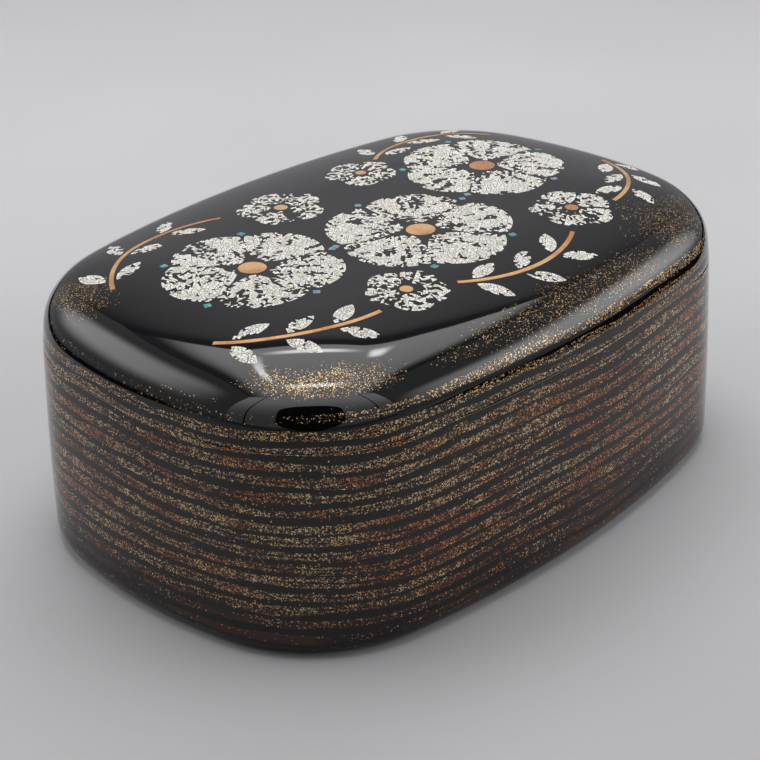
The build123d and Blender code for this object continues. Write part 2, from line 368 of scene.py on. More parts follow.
# %% Polished lacquer
lacquer_black = (0.0045, 0.0045, 0.0055, 1)
lacquer_brown = (0.048, 0.022, 0.012, 1)
coarse_grains, fine_grains = 2300.0, 3400.0


def polish(tree, shader, roughness=0.03):
    """The clear top coat that every lacquered surface shares."""
    coat = {"Coat Weight": 1.0, "Coat Roughness": roughness, "Coat IOR": 1.47}
    settle(tree, shader, {**coat, "Specular IOR Level": 0.0})


def sprinkle_gold(tree, place, density, per_metre, warmth):
    """Grains of gold powder: the mask that shows where they lie, and their colour."""
    given = {"Vector": place, "Density": density, "Per Metre": per_metre}
    grains = add(tree, "ShaderNodeGroup", given, node_tree=flecks).outputs
    chosen = {"Tone": grains["Tone"], "Warmth": warmth}
    tint = add(tree, "ShaderNodeGroup", chosen, node_tree=gold_colours).outputs
    return grains["Mask"], tint["Color"]


print("gold powder:", coarse_grains, "or", fine_grains, "grains per metre")

# %% Finish: striped lacquer
striped_lacquer, tree, shader, place = new_finish("striped_lacquer")
polish(tree, shader)
band = add(tree, "ShaderNodeGroup", {"Vector": place}, node_tree=bands).outputs

# The gold thins out towards the foot, along a wavy edge.
foot_edge = calc(tree, "MULTIPLY_ADD", clouds(tree, place, (16, 16, 30)), -26 * mm, height_of(tree, place))
above_foot = ease(tree, foot_edge, -6 * mm, 12 * mm, 0.08, 1.0)
clumps = ease(tree, clouds(tree, place, (260, 260, 420)), 0.32, 0.6, 0.45, 1.2)
on_bands = calc(tree, "MULTIPLY_ADD", band["Cover"], 0.66, 0.02)
density = calc(tree, "MULTIPLY", calc(tree, "MULTIPLY", on_bands, clumps), above_foot)
grains, gold = sprinkle_gold(tree, place, density, coarse_grains, band["Warmth"])

brown_patches = ease(tree, clouds(tree, place, (40, 40, 90)), 0.35, 0.65, 0.2, 1.0)
haze = calc(tree, "MULTIPLY", band["Cover"], brown_patches)
ground = mix_colour(tree, haze, lacquer_black, lacquer_brown)
with_grains = mix_colour(tree, grains, ground, gold)
grain_metal = calc(tree, "MULTIPLY", grains, 0.35)
settle(tree, shader, {"Base Color": with_grains, "Metallic": grain_metal, "Roughness": 0.45})
print("finish:", striped_lacquer.name)

# %% Finish: black lacquer of the lid
black_lacquer, tree, shader, place = new_finish("black_lacquer")
polish(tree, shader)
# Middle, reach and density of each cloud of fine powder on the shoulder.
cloud_places = [
    ((-89 * mm, -56 * mm, 87.8 * mm), (36 * mm, 27 * mm, 3.4 * mm), 0.42),
    ((5 * mm, -76 * mm, 87 * mm), (78 * mm, 13 * mm, 6 * mm), 0.17),
    ((74 * mm, -64 * mm, 88 * mm), (30 * mm, 22 * mm, 8 * mm), 0.20),
    ((-99 * mm, 43 * mm, 89 * mm), (15 * mm, 20 * mm, 6 * mm), 0.26),
    ((104 * mm, 30 * mm, 87 * mm), (16 * mm, 40 * mm, 8 * mm), 0.20),
    ((-20 * mm, 76 * mm, 87 * mm), (60 * mm, 12 * mm, 6 * mm), 0.24),
]
cover = 0.0
for middle, spread, fullest in cloud_places:
    where = {"Vector": place, "Middle": middle, "Reach": spread}
    cloud = add(tree, "ShaderNodeGroup", where, node_tree=sprinkle)
    cover = calc(tree, "MAXIMUM", cover, calc(tree, "MULTIPLY", cloud.outputs["Cover"], fullest))
fine, fine_gold = sprinkle_gold(tree, place, cover, fine_grains, 0.45)
with_fine = mix_colour(tree, fine, lacquer_black, fine_gold)

# The wall's bands run on over the seam, and two ragged ones more climb the shoulder, thin at the left.
parts = add(tree, "ShaderNodeSeparateXYZ", {"Vector": place}).outputs
band = add(tree, "ShaderNodeGroup", {"Vector": place}, node_tree=bands).outputs
ragged = calc(tree, "MULTIPLY_ADD", clouds(tree, place, (45, 45, 80), 3.0), -4.0 * mm, parts["Z"])
on_wall = ease(tree, ragged, 75.0 * mm, 76.0 * mm, 1.0, 0.0)
on_shoulder = ease(tree, ragged, 80.2 * mm, 81.2 * mm, 1.0, 0.0)
from_left = ease(tree, parts["X"], -106 * mm, -84 * mm, 0.14, 0.9)
reached = calc(tree, "MAXIMUM", on_wall, calc(tree, "MULTIPLY", on_shoulder, from_left))
stripes = calc(tree, "MULTIPLY", reached, calc(tree, "MULTIPLY", band["Cover"], 0.62))
warmth = calc(tree, "MULTIPLY", band["Warmth"], 0.7)
coarse, coarse_gold = sprinkle_gold(tree, place, stripes, coarse_grains, warmth)
grain_metal = calc(tree, "MULTIPLY", calc(tree, "MAXIMUM", fine, coarse), 0.5)
with_both = mix_colour(tree, coarse, with_fine, coarse_gold)
settle(tree, shader, {"Base Color": with_both, "Metallic": grain_metal, "Roughness": 0.45})
print("finish:", black_lacquer.name, "with", len(cloud_places), "clouds of powder")

# %% Finish: inner lacquer
inner_lacquer, tree, shader, place = new_finish("inner_lacquer")
polish(tree, shader, 0.16)
dust, dust_gold = sprinkle_gold(tree, place, 0.05, 2400.0, 0.8)
strokes = ease(tree, clouds(tree, place, (60, 60, 60), 4.0), 0.3, 0.7)
ground = mix_colour(tree, strokes, (0.010, 0.007, 0.006, 1), (0.020, 0.012, 0.009, 1))
settle(tree, shader, {"Base Color": mix_colour(tree, dust, ground, dust_gold), "Roughness": 0.5})
print("finish:", inner_lacquer.name)

# %% [markdown]
# ## Eggshell, gold and shell
#
# The inlay has three materials. Eggshell is a matt white that differs from chip to chip: each chip gets a
# random tone when it is laid, and an Attribute node reads it. Stems and hearts are powder laid so close
# that it looks like one warm gold, half lacquer and half metal. Shell is cut from the inside of an ear
# shell, and noise through a colour ramp gives each fleck its own blue, green or violet. The colour could
# shift with the angle as on real shell, but it would then be lost when the model is exported.
# %% Finish: eggshell
eggshell, tree, shader, place = new_finish("eggshell")
tone = add(tree, "ShaderNodeAttribute", attribute_name="tone").outputs["Fac"]
shell_colour = ramp(
    tree, tone,
    [
        (0.0, (0.66, 0.60, 0.49)), (0.2, (0.86, 0.82, 0.73)),
        (0.7, (0.93, 0.91, 0.85)), (1.0, (0.96, 0.95, 0.92)),
    ],
)
pores = ease(tree, clouds(tree, place, (5200, 5200, 5200)), 0.30, 0.46, 0.82, 1.0)
with_pores = mix_colour(tree, pores, (0.25, 0.20, 0.14, 1), shell_colour)
settle(tree, shader, {"Base Color": with_pores, "Roughness": 0.35, "Specular IOR Level": 0.4})
print("finish:", eggshell.name)

# %% Finish: gold lacquer
gold_lacquer, tree, shader, place = new_finish("gold_lacquer")
polish(tree, shader, 0.06)
drift = ease(tree, clouds(tree, place, (70, 70, 70)), 0.35, 0.65)
body_gold = mix_colour(tree, drift, (0.50, 0.20, 0.075, 1), (0.72, 0.42, 0.19, 1))
powder, powder_gold = sprinkle_gold(tree, place, 0.55, 3600.0, 0.35)
with_powder = mix_colour(tree, calc(tree, "MULTIPLY", powder, 0.45), body_gold, powder_gold)
settle(tree, shader, {"Base Color": with_powder, "Metallic": 0.45, "Roughness": 0.4})
print("finish:", gold_lacquer.name)

# %% Finish: shell
shell, tree, shader, place = new_finish("shell")
polish(tree, shader, 0.04)
play = calc(tree, "FRACT", calc(tree, "MULTIPLY", clouds(tree, place, (420, 420, 420)), 3.0))
blue, teal, green, violet = (0.10, 0.22, 0.55), (0.06, 0.42, 0.46), (0.30, 0.55, 0.42), (0.45, 0.25, 0.50)
nacre = ramp(tree, play, [(0.0, blue), (0.35, teal), (0.6, green), (0.8, violet), (1.0, (0.12, 0.20, 0.55))])
settle(tree, shader, {"Base Color": nacre, "Metallic": 0.5, "Roughness": 0.25})
print("finish:", shell.name)

# %% [markdown]
# ## A pen for profiles
#
# A turner would cut a template of the box's edge and run it round the plan. The same is done here: a
# pen draws the template as a chain of edges, and Spin carries it round each arc's centre in turn. The
# pen has two moves, a straight line and a swing round a centre. Both are bmesh operators, so round
# stretches are true arcs. In a profile, X is minus the inset from the plan's edge, and Z is the height.
# %% Pen
class Pen:
    """Draws a chain of edges in the XZ plane."""

    def __init__(self, inset, height):
        self.bm = bmesh.new()
        self.start = self.bm.verts.new((-inset, 0, height))
        self.tip = self.start

    def line(self, inset, height):
        """Draw a straight edge to a new point."""
        grown = bmesh.ops.extrude_vert_indiv(self.bm, verts=[self.tip])
        self.tip = grown["verts"][0]
        self.tip.co = (-inset, 0, height)

    def swing(self, inset, height, angle, steps):
        """Go round a centre by an angle, positive from outside towards up."""
        turned = bmesh.ops.spin(
            self.bm, geom=[self.tip], cent=(-inset, 0, height), axis=(0, 1, 0), angle=-angle, steps=steps
        )
        self.tip = [v for v in turned["geom_last"] if isinstance(v, bmesh.types.BMVert)][0]

    def close(self):
        """Draw the last straight edge, back to the first point."""
        self.bm.edges.new((self.tip, self.start))


print("the pen has two moves, line and swing")

# %% Carry a profile round the plan
steps_on = {side_bow_radius: 28, end_bow_radius: 24, corner_radius: 24}
print("steps round the whole plan:", sum(steps_on[radius] for _, _, radius, _, _ in plan))


def carry_round(bm):
    """Spin the profile round all eight arcs, join the ring, and close any hole left in its middle."""
    cx, cy, radius, start, _ = plan[0]
    towards_start = Matrix.Translation((cx, cy, 0)) @ Matrix.Rotation(start, 4, "Z")
    onto_plan = towards_start @ Matrix.Translation((radius, 0, 0))
    bmesh.ops.transform(bm, matrix=onto_plan, verts=bm.verts[:])
    chain = bm.verts[:] + bm.edges[:]
    for cx, cy, radius, _, sweep in plan:
        turned = bmesh.ops.spin(
            bm, geom=chain, cent=(cx, cy, 0), axis=(0, 0, 1), angle=sweep, steps=steps_on[radius]
        )
        chain = turned["geom_last"]
    bmesh.ops.remove_doubles(bm, verts=bm.verts[:], dist=0.01 * mm)
    bmesh.ops.holes_fill(bm, edges=[edge for edge in bm.edges if edge.is_boundary], sides=0)
    bmesh.ops.recalc_face_normals(bm, faces=bm.faces[:])


print("ready: carry_round")


# %% Make a piece
def faces_inwards(face):
    """Whether a face looks towards the middle of the box."""
    middle = face.calc_center_median()
    return face.normal.dot(Vector((middle.x, middle.y, 0))) < -0.1 * mm


def make_piece(name, bm, body, finishes, nodes):
    """Turn a finished bmesh into a piece that rides on a body and stands for its CAD nodes."""
    mesh = bpy.data.meshes.new(name)
    bm.to_mesh(mesh)
    bm.free()
    mesh.shade_smooth()
    mesh.set_sharp_from_angle(angle=radians(35))
    for finish in finishes:
        mesh.materials.append(finish)
    piece = bpy.data.objects.new(name, mesh)
    bpy.context.scene.collection.objects.link(piece)
    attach(piece, body)
    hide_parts(*nodes)
    print(f"{name}: {len(mesh.polygons)} faces, stands for {len(nodes)} nodes")


print("ready: faces_inwards and make_piece")

# %% [markdown]
# ## The body
#
# Under the lacquer the body is a base board, four bowed boards and four corner posts. The lacquer hides
# every joint, so one closed shell stands for all nine. Its template starts in the middle of the
# underside, rounds the foot, leans in along a very large arc up to the seam, and comes down inside. The
# two edges at the seam are rounded a little: that, and a hair of air, is what draws the dark line there.
# %% The leaning wall
seam_gap = 0.08 * mm
seam_edge = 0.40 * mm
wall_foot_thickness = foot_high.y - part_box("lip_hoop")[1].y
base_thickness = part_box("front_wall")[0].z
floor_fillet = 1.5 * mm
floor_inset = 34 * mm


def wall_inset(height):
    """How far the leaning outer wall has moved in at this height."""
    return wall_lean_radius - sqrt(wall_lean_radius**2 - height**2)


def climb(pen, low, high, steps):
    """Swing up the leaning wall from one height to another."""
    lean = asin(high / wall_lean_radius) - asin(low / wall_lean_radius)
    pen.swing(wall_lean_radius, 0, lean, steps)


print(f"the wall leans in by {wall_inset(seam_height) / mm:.2f} mm up to the seam")

# %% Body shell
rim_height = seam_height - seam_gap
rim_inset = wall_inset(rim_height - seam_edge)
quarter = radians(90)

pen = Pen(floor_inset, 0)
pen.line(base_edge_radius, 0)
pen.swing(base_edge_radius, base_edge_radius, quarter, 8)
pen.line(wall_inset(base_thickness), base_thickness)
climb(pen, base_thickness, rim_height - seam_edge, 10)
pen.swing(rim_inset + seam_edge, rim_height - seam_edge, quarter, 4)
pen.line(wall_foot_thickness, rim_height)
pen.line(wall_foot_thickness, base_thickness + floor_fillet)
pen.swing(wall_foot_thickness + floor_fillet, base_thickness + floor_fillet, -quarter, 4)
pen.line(floor_inset, base_thickness)
carry_round(pen.bm)
for face in pen.bm.faces:
    on_floor = face.normal.z > 0.5 and face.calc_center_median().z < base_thickness + floor_fillet
    face.material_index = 1 if faces_inwards(face) or on_floor else 0
walls = ["left_wall", "right_wall", "front_wall", "back_wall"]
corners = ["front_left", "front_right", "back_left", "back_right"]
posts = [f"corner_post_{corner}" for corner in corners]
boards = ["base_board", *walls, *posts]
make_piece("body_shell", pen.bm, "box", [striped_lacquer, inner_lacquer], boards)

# %% [markdown]
# ## The lip
#
# The lid has no hinge. It drops over a thin lip that stands up inside the body, a strip of wood bent
# round and glued in. Its upper edges are rounded, so that the lid finds its way down. Extruding the
# body's rim would make it too, but as a ring of its own it has the same pieces as the real one.
# %% Lip
lip_low, lip_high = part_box("lip_hoop")
lip_thickness = 1.8 * mm
lip_edge = 0.6 * mm
lip_outer = foot_high.y - lip_high.y

pen = Pen(lip_outer, lip_low.z)
pen.line(lip_outer, lip_high.z - lip_edge)
pen.swing(lip_outer + lip_edge, lip_high.z - lip_edge, quarter, 4)
pen.line(lip_outer + lip_thickness - lip_edge, lip_high.z)
pen.swing(lip_outer + lip_thickness - lip_edge, lip_high.z - lip_edge, quarter, 4)
pen.line(lip_outer + lip_thickness, lip_low.z)
pen.close()
carry_round(pen.bm)
make_piece("lip_ring", pen.bm, "box", [inner_lacquer], ["lip_hoop"])

# %% [markdown]
# ## The lid
#
# The lid is four rails, four corners and a crowned panel, again under one skin. Its template runs the
# other way round: out under the ceiling, down the inside of the lid's wall, round the edge at the seam,
# up the short wall, over the shoulder and along the crown to the flat middle. Lacquer is built up on
# the top until it is level with the inlay and then polished down, so the crown is lifted by that much.
# Where one arc runs into the next, a mirror would show a kink. The polisher's charcoal rubs it away, and
# so does Smooth Vertex, a few times over.
# %% Arcs of the lid
panel_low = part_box("lid_panel")[0]
ledge_thickness = 3.3 * mm
ledge_inset = 31 * mm
lid_clearance = 0.3 * mm
lid_hollow_radius = 4 * mm
inlay_proud = 0.03 * mm
rubbing = 14

shoulder_height = seam_height + lid_wall_height
lean = atan(shoulder_height / wall_lean_radius)
shoulder_x = wall_inset(shoulder_height) + shoulder_radius * cos(lean)
shoulder_z = shoulder_height - shoulder_radius * sin(lean)
crown_from = shoulder_x - shoulder_radius * cos(shoulder_turn)
crown_radius = (crown_inset - crown_from) / cos(shoulder_turn)
crown_z = shoulder_z + shoulder_radius * sin(shoulder_turn) - crown_radius * sin(shoulder_turn)
wood_top = crown_z + crown_radius
lacquer_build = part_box("middle_flower_inlay")[1].z - inlay_proud - wood_top
print(f"wood top {wood_top / mm:.2f} mm, lacquer built up by {lacquer_build / mm:.2f} mm")

# %% Lid shell
inner = wall_foot_thickness - lid_clearance
ceiling = panel_low.z - ledge_thickness
skirt = seam_height + seam_gap

pen = Pen(crown_inset, panel_low.z)
pen.line(ledge_inset, panel_low.z)
pen.line(ledge_inset, ceiling)
pen.line(inner + lid_hollow_radius, ceiling)
pen.swing(inner + lid_hollow_radius, ceiling - lid_hollow_radius, -quarter, 6)
pen.line(inner, skirt)
pen.line(wall_inset(skirt + seam_edge) + seam_edge, skirt)
pen.swing(wall_inset(skirt + seam_edge) + seam_edge, skirt + seam_edge, quarter, 4)
climb(pen, skirt + seam_edge, shoulder_height, 3)
pen.swing(shoulder_x, shoulder_z, shoulder_turn - lean, 26)
pen.swing(crown_inset, crown_z, quarter - shoulder_turn, 14)
outer_skin = inner - 1 * mm
shoulder_end_z = shoulder_z + shoulder_radius * sin(shoulder_turn)
for vert in pen.bm.verts:
    inset, up_shoulder = -vert.co.x, (vert.co.z - shoulder_height) / (shoulder_end_z - shoulder_height)
    if inset < outer_skin or up_shoulder > 1:
        up_shoulder = min(max(up_shoulder, 0), 1)
        vert.co.z += lacquer_build * up_shoulder**2 * (3 - 2 * up_shoulder)
carry_round(pen.bm)
above_skirt = skirt + 1 * mm
rubbed_from = skirt + 3 * mm
for face in pen.bm.faces:
    underneath = face.normal.z < -0.5 and face.calc_center_median().z > above_skirt
    face.material_index = 1 if faces_inwards(face) or underneath else 0
rubbed = [
    vert for vert in pen.bm.verts
    if vert.co.z > rubbed_from and all(face.material_index == 0 for face in vert.link_faces)
]
for _ in range(rubbing):
    bmesh.ops.smooth_vert(pen.bm, verts=rubbed, factor=0.5, use_axis_x=True, use_axis_y=True, use_axis_z=True)
lid_skin = BVHTree.FromBMesh(pen.bm)
rails = [f"lid_{side}_rail" for side in ("left", "right", "front", "back")]
lid_boards = [*rails, *[f"lid_corner_{corner}" for corner in corners], "lid_panel"]
make_piece("lid_shell", pen.bm, "lid", [black_lacquer, inner_lacquer], lid_boards)

# %% [markdown]
# ## The tray
#
# The tray is a flat floor in a bent hoop, and a rim round the hoop hangs on the lip. The floor's two
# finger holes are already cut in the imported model, so the floor keeps its own mesh. The hoop and the rim
# are drawn again with the pen, because rounded edges catch the light.
# %% Tray wall and rim
tray_edge = 0.5 * mm
hoop_low, hoop_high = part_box("tray_hoop")
rim_low, rim_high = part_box("tray_rim")
hoop_outer = foot_high.y - hoop_high.y
hoop_inner = hoop_outer + 2.2 * mm
rim_outer = foot_high.y - rim_high.y

pen = Pen(hoop_outer, hoop_low.z)
pen.line(hoop_outer, hoop_high.z)
pen.line(hoop_inner, hoop_high.z)
pen.line(hoop_inner, hoop_low.z)
pen.close()
carry_round(pen.bm)
make_piece("tray_wall", pen.bm, "tray", [inner_lacquer], ["tray_hoop"])

pen = Pen(rim_outer, rim_low.z)
pen.line(rim_outer, rim_high.z - tray_edge)
pen.swing(rim_outer + tray_edge, rim_high.z - tray_edge, quarter, 4)
pen.line(hoop_inner - tray_edge, rim_high.z)
pen.swing(hoop_inner - tray_edge, rim_high.z - tray_edge, quarter, 4)
pen.line(hoop_inner, rim_low.z)
pen.close()
carry_round(pen.bm)
make_piece("tray_lip", pen.bm, "tray", [inner_lacquer], ["tray_rim"])

# %% [markdown]
# ## Eggshell
#
# For the white inlay a craftsman lays quail's eggshell on wet lacquer and presses it until it cracks.
# A crack stops where it meets an older one. A loop does the same to each petal: it cuts a piece in two
# across its longer way, then cuts both halves, until every shard is small enough. Then the shards are
# drawn in to open the cracks, some are left out so that black shows through, and each is given a
# thickness. The petals themselves are the tops of the CAD inlay, laid flat.
# %% Sizes of the shards
crack_width = 0.15 * mm
shard_size = 1.4 * mm
shard_depth = 0.22 * mm
dust_size = 0.2 * mm
joined = 0.001 * mm
above_lid = width
area_spread = (0.35, 1.5)
turn_spread = (-0.6, 0.6)
shift_spread = (-0.15, 0.15)
print(f"shards of about {shard_size / mm:.1f} mm, with cracks of {crack_width / mm:.2f} mm")


# %% Outlines from the inlay
def outlines(node):
    """The flat outlines of a node's pieces, from the faces on its top."""
    bm = bmesh.new()
    bm.from_mesh(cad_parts[node].data)
    bmesh.ops.remove_doubles(bm, verts=bm.verts[:], dist=joined)
    bmesh.ops.delete(bm, geom=[face for face in bm.faces if face.normal.z < 0.5], context="FACES")
    bmesh.ops.scale(bm, vec=(1, 1, 0), verts=bm.verts[:])
    bmesh.ops.dissolve_faces(bm, faces=bm.faces[:])
    found = [[vert.co.copy() for vert in face.verts] for face in bm.faces]
    bm.free()
    return found


hearts = [sum(outline, Vector()) / len(outline) for outline in outlines("flower_heart_inlays")]
print("hearts:", [(round(heart.x / mm), round(heart.y / mm)) for heart in hearts])


# %% Crack one outline
def crack(outline, size, chance):
    """Break a flat outline into shards, each cut again until it is small enough."""
    bm = bmesh.new()
    waiting = [bm.faces.new([bm.verts.new(corner) for corner in outline])]
    while waiting:
        piece = waiting.pop()
        small_enough = size**2 * chance.uniform(*area_spread)
        if piece.calc_area() < small_enough:
            continue
        middle = piece.calc_center_median()
        far = max(piece.verts, key=lambda vert: (vert.co - middle).length).co
        long_way = (far - middle).normalized()
        long_way.rotate(Matrix.Rotation(chance.uniform(*turn_spread), 3, "Z"))
        cut = bmesh.ops.bisect_plane(
            bm, geom=[piece, *piece.edges, *piece.verts], dist=joined,
            plane_co=middle + long_way * size * chance.uniform(*shift_spread), plane_no=long_way,
        )
        halves = [part for part in cut["geom"] if isinstance(part, bmesh.types.BMFace)]
        if len(halves) > 1:
            waiting += halves
    return bm


print("ready: crack")


# %% Shards of one node
def lay_shards(name, node, seed, keep_chance):
    """Crack every outline of a node, thin the shards out, and bed them in the lid's lacquer."""
    chance = Random(seed)
    whole = bmesh.new()
    tone = whole.faces.layers.float.new("tone")
    for outline in outlines(node):
        bm = crack(outline, shard_size, chance)
        edge_shards = {face for face in bm.faces if any(edge.is_boundary for edge in face.edges)}
        dropped = [
            face for face in bm.faces
            if chance.random() > keep_chance(face.calc_center_median(), face in edge_shards)
        ]
        bmesh.ops.delete(bm, geom=dropped, context="FACES")
        rings = bmesh.ops.inset_individual(
            bm, faces=bm.faces[:], thickness=crack_width / 2, use_even_offset=True
        )
        bmesh.ops.delete(bm, geom=rings["faces"], context="FACES")
        for face in bm.faces:
            if face.calc_area() < dust_size**2:
                continue
            shard_corners = []
            for vert in face.verts:
                hit = lid_skin.ray_cast(Vector((vert.co.x, vert.co.y, above_lid)), Vector((0, 0, -1)))[0]
                shard_corners.append(whole.verts.new((vert.co.x, vert.co.y, hit.z + inlay_proud)))
            shard = whole.faces.new(shard_corners)
            shard[tone] = chance.random()
        bm.free()
    whole.normal_update()
    bmesh.ops.reverse_faces(whole, faces=[face for face in whole.faces if face.normal.z < 0])
    print(name, "has", len(whole.faces), "shards")
    bmesh.ops.solidify(whole, geom=whole.faces[:], thickness=shard_depth)
    make_piece(name, whole, "lid", [eggshell], [node])


print("shards are bedded", round((shard_depth - inlay_proud) / mm, 2), "mm deep")

# %% Which shards stay
petal_length = 22 * mm
heart_filling, full_filling = 0.55, 0.97
streak_level, kept_in_streak = -0.18, 0.35
leaf_filling, kept_at_edge = 0.95, 0.72


def petal_chance(place, at_edge):
    """Petals are dense outside, streaked along their length, and thin towards the heart."""
    heart = min(hearts, key=lambda h: (h - place).length)
    out = place - heart
    streak = noise.noise(Vector((atan2(out.y, out.x) * 7, out.length * 60, heart.x * 50)))
    filling = min(heart_filling + out.length / petal_length * 0.5, full_filling)
    if streak < streak_level:
        filling *= kept_in_streak
    return filling * (kept_at_edge if at_edge else 1)


def leaf_chance(place, at_edge):
    """Leaves are dense all over."""
    return kept_at_edge if at_edge else leaf_filling


print(f"at a heart {heart_filling:.0%} of a petal's shards stay, at its end {full_filling:.0%}")

# %% Lay the shards
inlays = [
    ("left_flower_shards", "left_flower_inlay", petal_chance),
    ("middle_flower_shards", "middle_flower_inlay", petal_chance),
    ("right_flower_shards", "right_flower_inlay", petal_chance),
    ("small_flower_shards", "small_flower_inlays", petal_chance),
    ("leaf_shards", "leaf_inlays", leaf_chance),
]
for seed, (name, node, keep_chance) in enumerate(inlays, 1):
    lay_shards(name, node, seed, keep_chance)


# %% [markdown]
# ## Pieces that keep their own mesh
#
# The tray's floor, the flowers' hearts, the stems and the flecks of shell already have their true shape
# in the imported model. They only get a finish.
# %% Finishes of the CAD nodes that stay
def dress(node, finish):
    """Give a CAD node a finish, and leave its mesh alone."""
    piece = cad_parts[node]
    if not piece.material_slots:
        piece.data.materials.append(finish)
    for held in piece.material_slots:
        held.material = finish


dress("tray_base", inner_lacquer)
dress("flower_heart_inlays", gold_lacquer)
dress("stem_inlays", gold_lacquer)
dress("shell_fleck_inlays", shell)
print("finishes given to four CAD nodes")

# %% [markdown]
# ## The camera
#
# The camera stands where the photograph was taken from: its place was found by fitting the outline of the
# box. It comes before the lights, because a mirror-black box is lit by what it reflects to the camera,
# so the lights are placed to the camera's left and right, over the box and behind it.
# %% Camera
camera_azimuth = radians(-46.45)
camera_elevation = radians(27.18)
camera_roll = radians(-1.48)
camera_distance = 628.04 * mm
aim_right, aim_up, aim_height = -3.93 * mm, -22.77 * mm, 60 * mm

level = cos(camera_elevation)
back = Vector((sin(camera_azimuth) * level, -cos(camera_azimuth) * level, sin(camera_elevation)))
right = Vector((0, 0, 1)).cross(back).normalized()
up = back.cross(right)
target = Vector((0, 0, aim_height)) + right * aim_right + up * aim_up
rolled_right = right * cos(camera_roll) + up * sin(camera_roll)
rolled_up = up * cos(camera_roll) - right * sin(camera_roll)

camera_data = bpy.data.cameras.new("camera")
camera_data.sensor_width = 36
camera_data.lens = 86.2
camera = bpy.data.objects.new("camera", camera_data)
turned = Matrix((rolled_right, rolled_up, back)).transposed().to_4x4()
camera.matrix_world = Matrix.Translation(target + back * camera_distance) @ turned
bpy.context.scene.collection.objects.link(camera)
bpy.context.scene.camera = camera
print("camera", [round(value, 3) for value in camera.location])

# %% [markdown]
# ## The room
#
# Black lacquer has no colour of its own: it shows the room. So the room is built to be seen in it. It is
# a tent of cloth about a metre wide: a paper floor that sweeps up behind, dim side walls with a softbox in
# front of each, a bright roof with a frame of lamps, and a front with a dark slit for the camera. The side
# walls and the front give a painted glow, by emission, and like the slit and the poles only reflections
# see them. The paper runs on past the box, but beside and in front of it lie black sheets that only
# reflections see: the lid's wall shows them as a thin dark line. Distances are measured from the box, to
# the camera's right and away from the camera.
# %% Paper
away = Vector((-back.x, -back.y, 0)).normalized()
upward = Vector((0, 0, 1))
paper, tree, shader, place = new_finish("paper")
depth = add(tree, "ShaderNodeVectorMath", {0: place, 1: away}, operation="DOT_PRODUCT").outputs["Value"]
# Painted light and shade: the paper is a little lighter towards the back and darker up the sweep. The mottle
# is the paper's own tone.
painted_light_towards_back = ease(tree, depth, -0.3, 0.6, 0.54, 0.585)
painted_shade_up_sweep = ease(tree, height_of(tree, place), 0.2, 1.1, 1.0, 0.62)
mottle = ease(tree, clouds(tree, place, (3, 3, 3)), 0.3, 0.7, 0.97, 1.03)
shade = calc(tree, "MULTIPLY", calc(tree, "MULTIPLY", painted_light_towards_back, painted_shade_up_sweep), mottle)
paper_grey_with_painted_shading = mix_colour(tree, shade, (0, 0, 0, 1), (0.985, 0.975, 1, 1))
settle(tree, shader, {"Base Color": paper_grey_with_painted_shading, "Roughness": 0.6, "Specular IOR Level": 0.0})
print("finish:", paper.name)


# %% Cloth
def cloth(name, radiance, top_radiance=None):
    """A cloth with a painted glow: emission that stands in for light falling through it, even or brighter
    towards its top.
    """
    made, tree, shader, place = new_finish(name)
    if top_radiance is not None:
        radiance = ease(tree, height_of(tree, place), 0.15, 0.95, radiance, top_radiance)
    glow = {"Emission Color": (0.97, 0.98, 1.0, 1), "Emission Strength": radiance}
    settle(tree, shader, {"Base Color": (0, 0, 0, 1), "Specular IOR Level": 0.0, **glow})
    return made


# Painted glow: the dim and the front cloth emit light, the front one brighter towards its top, and only
# reflections see them. The black cloth is plain black.
black_cloth = cloth("black_cloth", 0.0)
dim_cloth = cloth("dim_cloth", 0.38)
front_cloth = cloth("front_cloth", 0.6, 2.6)
print("cloths:", black_cloth.name, dim_cloth.name, front_cloth.name)


# %% Sheets of the room
def in_room(sideways, depth, height):
    """A point of the room: to the camera's right, away from it, and up, from the middle of the box."""
    return right * sideways + away * depth + upward * height


def sheet(name, finish, corner, far_corner, reflected_only=True):
    """A flat rectangle of the stage, between two opposite corners that share one coordinate."""
    low, high = Vector(corner), Vector(far_corner)
    fixed = min(range(3), key=lambda axis: abs(high[axis] - low[axis]))
    bm = bmesh.new()
    bmesh.ops.create_grid(bm, x_segments=1, y_segments=1, size=1.0)
    for vert in bm.verts:
        shares = [vert.co.x / 2 + 0.5, vert.co.y / 2 + 0.5]
        shares.insert(fixed, 0)
        vert.co = in_room(*[a + (b - a) * share for a, b, share in zip(low, high, shares)])
    mesh = bpy.data.meshes.new(name)
    bm.to_mesh(mesh)
    bm.free()
    mesh.materials.append(finish)
    made = bpy.data.objects.new(name, mesh)
    bpy.context.scene.collection.objects.link(made)
    made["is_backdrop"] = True
    if reflected_only:
        made.visible_camera = made.visible_diffuse = made.visible_shadow = False
    return made


print("ready: in_room and sheet")

# %% Floor, sweep and walls
tent_side, tent_front, tent_back, tent_top = 0.75, -0.62, 1.05, 1.16
floor_reach = 3
sweep_foot = (floor_reach, tent_back, 0)
sweep_top = (floor_reach, tent_back, tent_top + 0.1)
sheet("paper_floor", paper, (-floor_reach, -floor_reach, 0), sweep_foot, reflected_only=False)
sheet("paper_sweep", paper, (-floor_reach, tent_back, 0), sweep_top, reflected_only=False)

